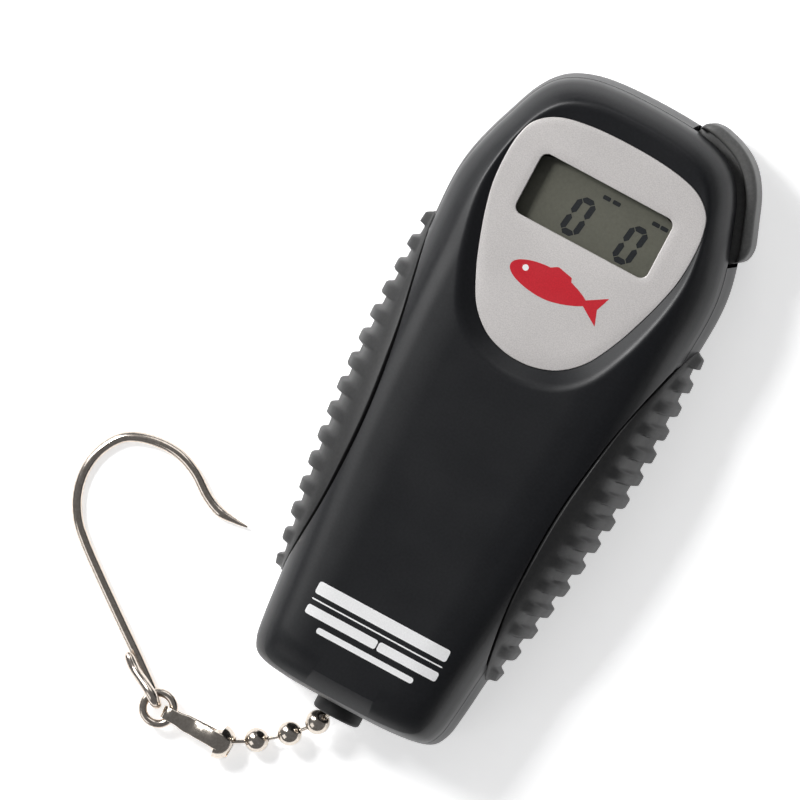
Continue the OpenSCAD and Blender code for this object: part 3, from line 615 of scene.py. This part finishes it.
def grip(side):
    """Stations along the case, each a strip of rubber over the shell's side: the smooth rubber swells from
    its front edge, and the ribs rise from it towards the side, steeper on the side that faces the chain."""
    pitch = (GRIP_Y1 - GRIP_Y0 - 2 * RIB_FROM_END) / (RIBS - 1)
    y = np.linspace(GRIP_Y0 + 0.3, GRIP_Y1 - 0.3, RIBS * 16)[:, None]
    wave = np.clip(np.sin(np.pi * (y - GRIP_Y0) / (GRIP_Y1 - GRIP_Y0)), 0.02, 1)
    swell = np.sqrt(wave)
    top = SHOULDER_Z(GRIP_REACH * wave * HALF_W / half_at(y))
    low = GRIP_LOW_END - GRIP_LOW_DROP * swell
    u = np.r_[0, 0.004, 0.012, 0.025, 0.045, np.linspace(0.07, 0.95, 26), 0.97, 0.985, 0.995, 1][None, :]
    z = low + (top - low) * np.cos(np.pi / 2 * u)
    tilt = slope_at(z)
    x = half_at(y) * (1 - SKIN_IN(z) / HALF_W)
    off = (y - GRIP_Y0 - RIB_FROM_END + pitch / 2) % pitch - pitch / 2
    along = ease((off + RIB_L / 2 + 0.18) / 0.4) * ease((RIB_L / 2 + 0.45 - off) / 1.0)
    inside = (y > GRIP_Y0 + 0.5) & (y < GRIP_Y1 - 0.5)
    rib = RIB_H * along * inside * ease((ACROSS * u - RIBS_START) / RIBS_START)
    edge = ease(u / 0.035) * ease((1 - u) / 0.02)
    smooth = EDGE_PROUD * swell + (GRIP_PROUD - EDGE_PROUD) * swell * ease(ACROSS * u / SWELL_RUN)
    proud = -EDGE_SUNK + EDGE_SUNK * edge + (smooth + rib) * edge
    outer = np.stack([x + proud * np.sin(tilt), y + 0 * x, z + proud * np.cos(tilt)], -1)
    inner = np.stack([x - GRIP_SEAT * np.sin(tilt), y + 0 * x, z - GRIP_SEAT * np.cos(tilt)], -1)[:, ::-6]
    grid = np.concatenate([outer, inner], 1) * (side, 1, 1)
    return [skin(grid)]


for name, side in (("left_grip", -1), ("right_grip", 1)):
    mesh = as_mesh(name + "_rubber", grip(side))
    placed(name + "_rubber", mesh, "case", PAINTS["grip_rubber"], (name,), 50)


# ---- rear shell and battery door ----
def rear_outside():
    """Rows of the rear shell's outside from the back up to the parting line."""
    z = np.r_[0, 0.12, 0.3, 0.5, 0.8, 1.2, 1.7, 2.4, 3.2, 4, 5, 6, 7.5, 9, 11, 13, 15, PART_Z]
    return [level(case_ring(REAR_IN(v)), v) for v in z]


door_low, door_high = low_high("battery_door")
DOOR_T = door_high[2]
BAY_WALLS = (-12.2, 3.3, WALL - 0.5), (12.2, 54.2, 14.5)
BAY_ROOM = (-11.0, 4.5, 1.0), (11.0, 53.0, 13.5)
DOOR_BED = (-17.5, 0, WALL - 0.3), (17.5, 59, DOOR_T + 1.4)
DOOR_WAY = (-13.7, 2, -1), (13.7, 90, DOOR_T - 0.8)
DOOR_RAILS = (-14.7, 2, DOOR_T - 1.1), (14.7, 90, DOOR_T + 0.2)
SCREW_HEAD_R, SCREW_SINK = 2.9, 3.2
CHAIN_Z = 10.8


def band_outline(outer, inner, start, stop):
    """The strip of the case's outline that the button follows, between two insets of its outline."""
    run = CASE_FINE[start:stop]
    sides = [run * (HALF_W - v, HALF_L - v) for v in (outer, inner)]
    return np.vstack([sides[0], sides[1][::-1]])


BAND = FINE, 6 * FINE + 1  # the stretch of the outline that the button follows


def prism(outline, z0, z1):
    """A straight-sided solid over an outline."""
    n = len(outline)
    points = np.vstack([level(outline, z0), level(outline, z1)])
    faces = [list(range(n))[::-1], list(range(n, 2 * n))]
    faces += [[k, (k + 1) % n, (k + 1) % n + n, k + n] for k in range(n)]
    return outward(points, faces)


screw_places = [(s * (float(half_at(y)) - WALL - 4.4), y) for y in (26.0, -HALF_L + 7.5) for s in (-1, 1)]
inside_rows = [
    level(case_ring(0.8, WALL), PART_Z), level(case_ring(0, WALL), 9),
    level(case_ring(0.2, WALL + 0.2), 4.5), level(case_ring(0.8, WALL + 0.8), WALL + 0.2),
]
rear = as_mesh("rear_shell_skin", [skin(np.array(rear_outside() + inside_rows))])
button_gap = prism(band_outline(-6, WALL + 0.9, BAND[0] - 3, BAND[1] + 3), 4.6, PART_Z + 1)
rear = carved(rear, [
    ("UNION", [block(*BAY_WALLS)]),
    ("UNION", [block(*DOOR_BED)]),
    ("DIFFERENCE", [block(*BAY_ROOM)]),
    ("DIFFERENCE", [block(*DOOR_WAY)]),
    ("DIFFERENCE", [block(*DOOR_RAILS)]),
    ("DIFFERENCE", [post(x, y, -1, SCREW_SINK, SCREW_HEAD_R) for x, y in screw_places]),
    ("DIFFERENCE", [lathe([[0, 4.95], [8, 4.95]], (0, -HALF_L + 4, CHAIN_Z), (0, -1, 0))]),
    ("DIFFERENCE", [button_gap]),
])
placed("rear_shell_skin", rear, "case", PAINTS["case_plastic"], ("rear_shell",), 30)


GROOVES, GROOVE_Y, GROOVE_STEP = 6, 47, 1.9
GROOVE_HALF, GROOVE_Z, GROOVE_R = 8.0, -0.25, 0.7


def battery_door():
    """The panel is the stretch of the case's back between the door's sides, with a thumb's grooves across."""
    outside = np.array(rear_outside()[:12])
    panel = as_mesh("battery_door_panel", [skin(outside)])
    grooves = []
    for k in range(GROOVES):
        y = GROOVE_Y + GROOVE_STEP * k
        path = np.array([[-GROOVE_HALF, y, GROOVE_Z], [GROOVE_HALF, y, GROOVE_Z]])
        grooves.append(skin(swept(path, circle(14) * GROOVE_R, (0, 1, 0))))
    wide = block((-door_high[0], door_low[1], -1), (door_high[0], 90, DOOR_T))
    narrow = [block((x - 3, -10, -2), (x + 3, 95, DOOR_T - 1)) for x in (door_low[0] - 2, door_high[0] + 2)]
    return carved(panel, [("INTERSECT", [wide]), ("DIFFERENCE", narrow), ("DIFFERENCE", grooves)])


placed(
    "battery_door_panel", battery_door(),
    "door", PAINTS["case_plastic"], ("battery_door",), 30,
)


# ---- face plate ----
def face_plate():
    """A plate between two outlines, matched by their angle about the window, with its upper edges rounded."""
    window = even(rounded_box(WINDOW_W / 2, WINDOW_H / 2, WINDOW_R, 40), 4000) + WINDOW_CENTRE
    rim = PLATE_FINE * (PLATE_W / 2, PLATE_L) + PLATE_CENTRE
    own = [np.arctan2(*(p - WINDOW_CENTRE).T[::-1]) for p in (window[::14], rim[::3])]
    angle = np.unique(np.round(np.concatenate(own), 4))
    hole, edge = outline_at(window, WINDOW_CENTRE, angle), outline_at(rim, WINDOW_CENTRE, angle)
    out = edge - WINDOW_CENTRE
    out /= np.linalg.norm(out, axis=1)[:, None]
    r = 0.18  # of its edges
    turn = np.radians(np.linspace(0, 90, 5))
    rows = [level(edge, POCKET_Z)]
    rows += [level(edge - out * r * (1 - math.cos(a)), PLATE_TOP - r + r * math.sin(a)) for a in turn]
    rows += [level(edge + (hole - edge) * f, PLATE_TOP) for f in (0.15, 0.4, 0.7)]
    rows += [level(hole + out * r * (1 - math.cos(a)), PLATE_TOP - r + r * math.sin(a)) for a in turn[::-1]]
    rows += [level(hole, POCKET_Z)]
    return [skin(np.array(rows), ring_rows=True)]


placed(
    "face_plate_sheet", as_mesh("face_plate_sheet", face_plate()),
    "case", PAINTS["plate_metal"], ("face_plate",), 50,
)


# ---- display ----
INK = LCD_TOP - 0.03, LCD_TOP + 0.02


def digit(x, y):
    """A leaning nought of six bars with pointed ends, as thin solids on the display's glass."""
    w, h, t, lean, gap = 1.4, 3.5, 0.6, 0.13, 0.1  # half sizes, half a bar's width, lean per height, end gap
    corner = [(-w, h), (w, h), (w, 0), (w, -h), (-w, -h), (-w, 0)]
    bars = []
    for k in range(6):
        a, b = np.array(corner[k]), np.array(corner[(k + 1) % 6])
        run = (b - a) / np.linalg.norm(b - a)
        side = np.array([-run[1], run[0]])
        a, b = a + run * gap, b - run * gap
        near, far = a + run * t, b - run * t
        flat = np.array([a, near + side * t, far + side * t, b, far - side * t, near - side * t])
        flat[:, 0] += lean * flat[:, 1]
        bars.append(prism(flat + (x, y), *INK))
    return bars


marks = [rounded_box(0.8, 0.42, 0.25) + (x, 44.9) for x in (0.3, 2.4, 10.9, 12.7)]
segments = digit(-2.95, 39.2) + digit(8.4, 39.1) + [prism(m, *INK) for m in marks]
placed("display_segments", as_mesh("display_segments", segments), "case", SEGMENT)


# ---- printed marks ----
def printed(outline, height, lift=0.03):
    """A skin of print over a surface: its outline and smaller copies of it, each at the surface's height."""
    mid = outline.mean(0)
    base = height(outline[:, 0], outline[:, 1])
    rows = [level(outline, base - 0.06)]  # its edge goes down into the surface
    for f in np.linspace(0, 0.97, 26):
        p = mid + (outline - mid) * (1 - f)
        rows.append(level(p, height(p[:, 0], p[:, 1]) + lift))
    return skin(np.array(rows))


def plate_height(x, y):
    """The plate is flat."""
    return np.full_like(x, PLATE_TOP)


# A plain fish: an oval drawn in towards the tail, a forked tail, a fin and a round eye.
turn = np.linspace(0, 2 * np.pi, 72, endpoint=False)
narrow = 1 - 0.42 * np.clip(np.cos(turn), 0, 1) ** 1.5
body = np.column_stack([-1.6 + 8.2 * np.cos(turn), 25.5 + 3.0 * np.sin(turn) * narrow])
tail = even(np.array([[5.2, 25.5], [10, 28.5], [8.9, 25.5], [10, 22.5]], float), 40)
fin = even(np.array([[-3.4, 28.0], [-1.4, 29.3], [1.8, 28.6], [2.2, 27.6]], float), 24)
fish = [printed(part, plate_height, lift) for part, lift in ((body, 0.03), (tail, 0.035), (fin, 0.025))]
placed("plate_fish_mark", as_mesh("plate_fish_mark", fish), "case", RED_PRINT)
eye_at = np.column_stack([-6.9 + 0.6 * np.cos(turn), 26.2 + 0.6 * np.sin(turn)])
eye = printed(eye_at, plate_height, 0.05)
placed("plate_fish_eye", as_mesh("plate_fish_eye", [eye]), "case", WHITE_PRINT)
# Plain bars, each as the place of its middle and its half sizes.
bars = [
    (0.95, -45.9, 14.15, 1.25), (0.95, -48.25, 14.15, 0.14), (-5.6, -50.4, 7.6, 0.95),
    (8.7, -50.4, 6.4, 0.95), (0.95, -53.2, 10.4, 0.6),
]
printing = [
    printed(even(rounded_box(w, h, min(h, 0.5) * 0.98, 8), 160) + (x, y), face_z) for x, y, w, h in bars
]
placed("face_bar_marks", as_mesh("face_bar_marks", printing), "case", WHITE_PRINT)


# ---- button and boot ----
BUTTON_LOW, BUTTON_HIGH, BUTTON_DIP = 5.0, 15.8, 0.9  # heights of its bar, and its top's dip at the ends
BUTTON_OUT, BUTTON_SWELL = 0.8, 1.8  # how far it stands out at the ends, and how much more between them
STEP_IN, STEP_SWELL = 0.25, 0.4  # the same for its back edge
ROUND_OUT, ROUND_IN = 0.9, 0.45
BUTTON_BACK = 3.1
END_RUN = 3.2


def button():
    """A rounded bar carried along the case's outline, drawn in at both ends; behind it a skirt and a pad."""
    run = CASE_FINE[BAND[0]:BAND[1]]
    way = np.r_[0, np.cumsum(np.linalg.norm(np.diff(run * (HALF_W, HALF_L), axis=0), axis=1))]
    ends = np.array([0, 0.15, 0.4, 0.8, 1.3])
    even_way = np.r_[ends, np.linspace(2, way[-1] - 2, 60), way[-1] - ends[::-1]]
    run = np.column_stack([np.interp(even_way, way, run[:, k]) for k in (0, 1)])
    from_end = np.minimum(even_way, way[-1] - even_way)
    swell = np.sqrt(1 - (1 - np.clip(from_end / END_RUN, 0, 1)) ** 2)[:, None]
    out = BUTTON_OUT + BUTTON_SWELL * swell
    front = BUTTON_HIGH - BUTTON_DIP * (1 - swell)
    step_in = STEP_IN + STEP_SWELL * swell
    zero = 0 * swell
    offs = [zero - BUTTON_BACK, zero - BUTTON_BACK, step_in - 0.3]
    heights = [zero + BUTTON_LOW, front - 2.6, front - 2.6]
    bow = np.radians(np.linspace(0, 90, 7))
    for a in bow:
        offs.append(step_in + ROUND_IN * (1 - math.cos(a)))
        heights.append(front - ROUND_IN * (1 - math.sin(a)))
    for a in bow[::-1]:
        offs.append(out - ROUND_OUT * (1 - math.cos(a)))
        heights.append(front - ROUND_OUT * (1 - math.sin(a)))
    for a in bow:
        offs.append(out - ROUND_OUT * (1 - math.cos(a)))
        heights.append(zero + BUTTON_LOW + ROUND_OUT * (1 - math.sin(a)))
    offs, z = np.hstack(offs), np.hstack(heights)
    grid = np.stack([run[:, :1] * (HALF_W + offs), run[:, 1:] * (HALF_L + offs), z], -1)
    skirt = prism(band_outline(WALL + 1, WALL + 1.9, BAND[0] - 12, BAND[1] + 12), 4.2, PART_Z - 0.3)
    mid = np.array([*(CASE_FINE[4 * FINE] * (HALF_W - 3, HALF_L - 3)), 13.9])
    press = np.array([-1, -1, 0]) / math.sqrt(2)
    pad = skin(swept(np.array([mid + 0.3 * press, mid + 2.2 * press]), rounded_box(1.6, 1.6, 0.2), (0, 0, 1)))
    return [skin(grid), skirt, pad]


placed(
    "button_cap", as_mesh("button_cap", button()),
    "button", PAINTS["button_rubber"], ("power_button",), 50,
)

boot_end = -low_high("chain_boot")[0][1]
boot_profile = np.vstack([
    [[boot_end - 6.3, 3.8], [boot_end - 6.3, 5.45], [boot_end - 5.2, 5.45], [boot_end - 5.2, 4.85]],
    arc((boot_end - 0.7, 4.15), 0.7, 90, 0, 7), arc((boot_end - 0.25, 4.05), 0.25, 0, -90, 4),
])
boot = lathe(boot_profile, (0, 0, CHAIN_Z), (0, -1, 0), 80, ring=True)
placed(
    "boot_collar", as_mesh("boot_collar", [boot]),
    "case", PAINTS["boot_rubber"], ("chain_boot",), 40,
)


# ---- chain, swivel, ring and hook ----
CHAIN_YAW = (22, 25, 33, 41, 46, 50, 55, 60, 62)
CHAIN_SLOPE = (24, 28, 29, 29, 24, 14, 3, -6, -9)
METAL = PAINTS["chain_metal"]


def aim(k):
    """Direction of the chain at its k-th link: it turns towards -X and sinks as it leaves the case."""
    yaw, slope = math.radians(CHAIN_YAW[k]), math.radians(CHAIN_SLOPE[k])
    return np.array([-math.cos(slope) * math.sin(yaw), -math.cos(slope) * math.cos(yaw), -math.sin(slope)])


def middle(node):
    """Middle of a node's box."""
    return sum(low_high(node)) / 2


def hole_angle(hole, radius):
    """Angle from a sphere's pole to the edge of a round hole in it, in degrees."""
    return math.degrees(math.asin(hole / radius))


BEADS = 5
BEAD_R, BEAD_WALL, BEAD_HOLE = 2.38, 0.3, 0.62
for i in range(BEADS):
    name = f"bead_{i}"
    inside_r = BEAD_R - BEAD_WALL
    open_out, open_in = hole_angle(BEAD_HOLE, BEAD_R), hole_angle(BEAD_HOLE, inside_r)
    outer = arc((0, 0), BEAD_R, open_out, 180 - open_out, 40)
    inner = arc((0, 0), inside_r, 180 - open_in, open_in, 16)
    ball = lathe(np.vstack([outer, inner]), middle(name), aim(2 * i), 72, ring=True)
    placed(name + "_ball", as_mesh(name + "_ball", [ball]), name, METAL, (name,), 60)

PIN_HEAD = [[-2.65, 0.55], [-2.62, 0.7], [-2.52, 0.8], [-2.35, 0.8], [-2.25, 0.72], [-2.25, 0.4]]
for i in range(1, BEADS):
    name = f"pin_{i}"
    profile = PIN_HEAD + [[-v, r] for v, r in PIN_HEAD[::-1]]
    shank = lathe(profile, middle(name), aim(2 * i - 1), 32)
    placed(name + "_shank", as_mesh(name + "_shank", [shank]), name, METAL, (name,), 50)

RIM = np.array([low_high("bell")[0][0], *middle("bead_4")[1:]])
BELL_R, BELL_WALL, BELL_HOLE = 3.45, 0.5, 2.2
inside_r = BELL_R - BELL_WALL
bell_profile = np.vstack([
    arc((0, 0), BELL_R, 88, hole_angle(BELL_HOLE, BELL_R), 36),
    arc((0, 0), inside_r, hole_angle(BELL_HOLE, inside_r), 87, 24),
])
bell = lathe(bell_profile, RIM, (1, 0, 0), 96, ring=True)
placed("bell_dome", as_mesh("bell_dome", [bell]), "swivel", METAL, ("bell",), 45)

LOOP_X, LOOP_R = -10.3, 1.6
STRAP_LEG = np.array([[0.6, 3.02], [-1.2, 2.98], [-3.2, 2.45], [-5.4, 1.68], [-8.0, 1.6], [LOOP_X, LOOP_R]])
STRAP_HALF_W, STRAP_HALF_T, STRAP_ROUND = 1.55, 0.3, 0.14


def strap():
    """A flat band bent round the ring: from one side of the bell's rim to the loop, round it, and back."""
    leg = round_path(STRAP_LEG, 10)
    loop = arc((LOOP_X, 0), LOOP_R, 90, 270, 40)[1:-1]
    flat = np.vstack([leg, loop, leg[::-1] * (1, -1)])
    path = np.column_stack([flat[:, 0], 0 * flat[:, 0], flat[:, 1]]) + RIM
    narrow = 1 - 0.2 * ease((-flat[:, 0] - 6.8) / 2.2)
    section = rounded_box(STRAP_HALF_W, STRAP_HALF_T, STRAP_ROUND, 4)
    sections = section[None] * np.stack([narrow, np.ones_like(narrow)], -1)[:, None]
    return [skin(swept(path, sections, (0, 1, 0)))]


placed("strap_band", as_mesh("strap_band", strap()), "swivel", METAL, ("strap",), 50)

RING_R, RING_WIRE = 3.0, 0.85
ring_at = middle("ring")
wire = circle(28) * RING_WIRE + (0, RING_R)
ring = lathe(wire, ring_at, (0, 0, 1), 112, ring=True)
placed("ring_wire", as_mesh("ring_wire", [ring]), "ring", PAINTS["hook_metal"], ("ring",), 60)

HOOK_WIRE = 1.05
HOOK_YAW = math.radians(141)
HOOK_EYE = -33.7, -80.3  # where the plan below has the ring's wire
# Middle of the hook's wire seen from above, from its eye to its point.
HOOK_PLAN = np.array([
    [-39.3, -75.9], [-45.4, -71.4], [-53, -65.7], [-58.6, -61.3], [-62.2, -57.8], [-64.6, -53.4],
    [-65.4, -48.6], [-64.4, -43.8], [-61.6, -39.8], [-57, -37.9], [-51.6, -37.6], [-46.8, -39.2],
    [-42.4, -42.2], [-39, -43.7], [-35.8, -43.9], [-32.8, -43.8],
])


def hook():
    """A round wire: a tail beside the shank, up over the ring and down round it, out along the shank and
    round the bend to the point, where it tapers."""
    shank = np.array([math.cos(HOOK_YAW), math.sin(HOOK_YAW), 0])
    beside = np.array([-shank[1], shank[0], 0])
    lift = np.array([0, 0, 1])
    at = ring_at + RING_R * shank
    eye = RING_WIRE + HOOK_WIRE + 0.2
    floor = HOOK_WIRE + 0.05
    shift = at[:2] - HOOK_EYE
    points = [at + 9.2 * shank + 1.4 * beside - 0.5 * lift, at + 5.6 * shank + 1.3 * beside]
    points += [at + 2.4 * shank + 0.5 * beside + 1.5 * lift]
    for a in np.radians(range(90, -91, -45)):
        points.append(at - eye * math.cos(a) * shank + eye * math.sin(a) * lift)
    points += [at + 2.6 * shank + (floor - at[2] + 0.2) * lift]
    path = round_path(np.vstack([points, level(HOOK_PLAN + shift, floor)]), 10)
    to_end = (len(path) - 1 - np.arange(len(path))) * 3 / 10
    radius = HOOK_WIRE * np.minimum(1, 0.16 + 0.15 * to_end)
    radius[:6] *= np.sqrt(1 - (1 - np.arange(6) / 6) ** 2 * 0.96)
    return [skin(swept(path, circle(24), beside, radius))]


placed("hook_wire", as_mesh("hook_wire", hook()), "hook", PAINTS["hook_metal"], ("hook",), 60)

# ---- floor, light and camera ----
FLOOR_HALF = 3.0  # metres
floor_z = cad_box[0][2] / MM - 0.02
corners = (-1, -1), (1, -1), (1, 1), (-1, 1)
floor_mesh = bpy.data.meshes.new("floor")
floor_points = [(x * FLOOR_HALF, y * FLOOR_HALF, floor_z * MM) for x, y in corners]
floor_mesh.from_pydata(floor_points, [], [[0, 1, 2, 3]])
# Painted light: the floor paper glows by its own emission. This brightens the whole floor, lifts its cast
# shadow to near white, and throws light back onto the case.
GLOWING_PAPER = finish(
    "glowing_floor_paper", (250, 250, 250), (254, 254, 254), 3.0, 0.9, 0.03, patch=60, Emission_Strength=0.55,
)
GLOWING_PAPER.node_tree.nodes["Principled BSDF"].inputs["Emission Color"].default_value = (1, 1, 1, 1)
floor_mesh.materials.append(GLOWING_PAPER)
floor = bpy.data.objects.new("floor", floor_mesh)
bpy.context.scene.collection.objects.link(floor)

world = bpy.data.worlds.new("studio")
world.use_nodes = True
background = world.node_tree.nodes["Background"]
background.inputs["Color"].default_value = (0.96, 0.97, 1.0, 1.0)
background.inputs["Strength"].default_value = 0.16
bpy.context.scene.world = world
bpy.context.scene.view_settings.view_transform = "Standard"


def lamp(name, direction, distance, size, power, target=(0, 0, 0.01)):
    """A square soft box that looks at the object from a direction; its distance and size are in metres."""
    light = bpy.data.lights.new(name, "AREA")
    light.size, light.energy = size, power
    obj = bpy.data.objects.new(name, light)
    way = Vector(direction).normalized()
    turn = way.to_track_quat("Z", "Y").to_matrix().to_4x4()
    obj.matrix_world = Matrix.Translation(Vector(target) + way * distance) @ turn
    bpy.context.scene.collection.objects.link(obj)


lamp("key", (-0.616, 0.191, 0.764), 1.0, 0.22, 6)
lamp("left_box", (-0.85, 0.25, 0.5), 1.2, 0.7, 4.5)
lamp("top_box", (-0.1, 0.85, 0.62), 1.3, 0.7, 2.0)
lamp("low_box", (-0.45, -0.8, 0.6), 1.3, 0.7, 1.8)

TILT_X, TILT_Y, LEAN = math.radians(5.2), math.radians(4.0), math.radians(28)
away = Vector((math.sin(TILT_X) * math.cos(TILT_Y), math.sin(TILT_Y), math.cos(TILT_X) * math.cos(TILT_Y)))
up = (Vector((0, 1, 0)) - away * away.y).normalized()
right = up.cross(away)
view_right = math.cos(LEAN) * right + math.sin(LEAN) * up
view_up = math.cos(LEAN) * up - math.sin(LEAN) * right
VIEW_WIDTH = 151.8
PLATE_RIGHT, PLATE_UP = 33.07, 27.87  # where the plate's middle lies from the view's middle
aim_at = Vector((*PLATE_CENTRE, PLATE_TOP)) - PLATE_RIGHT * view_right - PLATE_UP * view_up
camera_data = bpy.data.cameras.new("camera")
camera_data.lens = 1500
camera_data.sensor_width = 36
distance = VIEW_WIDTH * camera_data.lens / camera_data.sensor_width
camera_data.clip_end = 30
camera = bpy.data.objects.new("camera", camera_data)
turned = Matrix((view_right, view_up, away)).transposed().to_4x4()
camera.matrix_world = Matrix.Translation((aim_at + away * distance) * MM) @ turned
bpy.context.scene.collection.objects.link(camera)
bpy.context.scene.camera = camera
